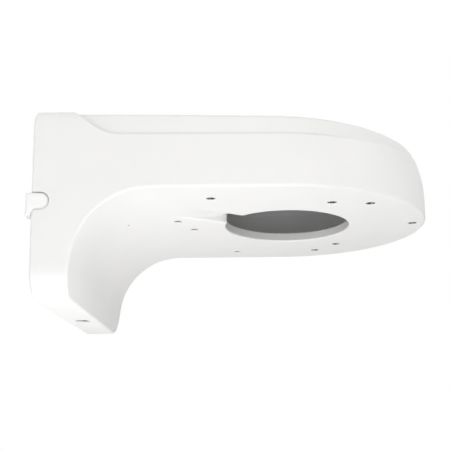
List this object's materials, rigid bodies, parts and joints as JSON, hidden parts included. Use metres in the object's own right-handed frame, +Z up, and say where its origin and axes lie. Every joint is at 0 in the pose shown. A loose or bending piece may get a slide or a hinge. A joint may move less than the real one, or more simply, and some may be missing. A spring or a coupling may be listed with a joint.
{
  "type": "camera wall bracket",
  "caption": "Hollow cast wall bracket for a dome camera: a rounded flat arm on a curved leg, with a cable opening and tapped holes below, hung on a steel wall plate.",
  "frame": {"origin": "middle of the wall plate's four screw holes, on the wall, level with the arm's flat underside", "axes": "+X out from the wall along the arm, +Z up, +Y to the left seen from the wall"},
  "size_m": [0.1595, 0.1286, 0.0726],
  "materials": {
    "body": "satin powder coat, off-white",
    "plate": "zinc plated",
    "screw": "stainless",
    "plug": "soft, matt, off-white"
  },
  "bodies": {
    "root": {"bracket_body": "body", "wall_plate": "plate", "locking_screw": "screw", "cable_plug": "plug"}
  },
  "joints": []
}
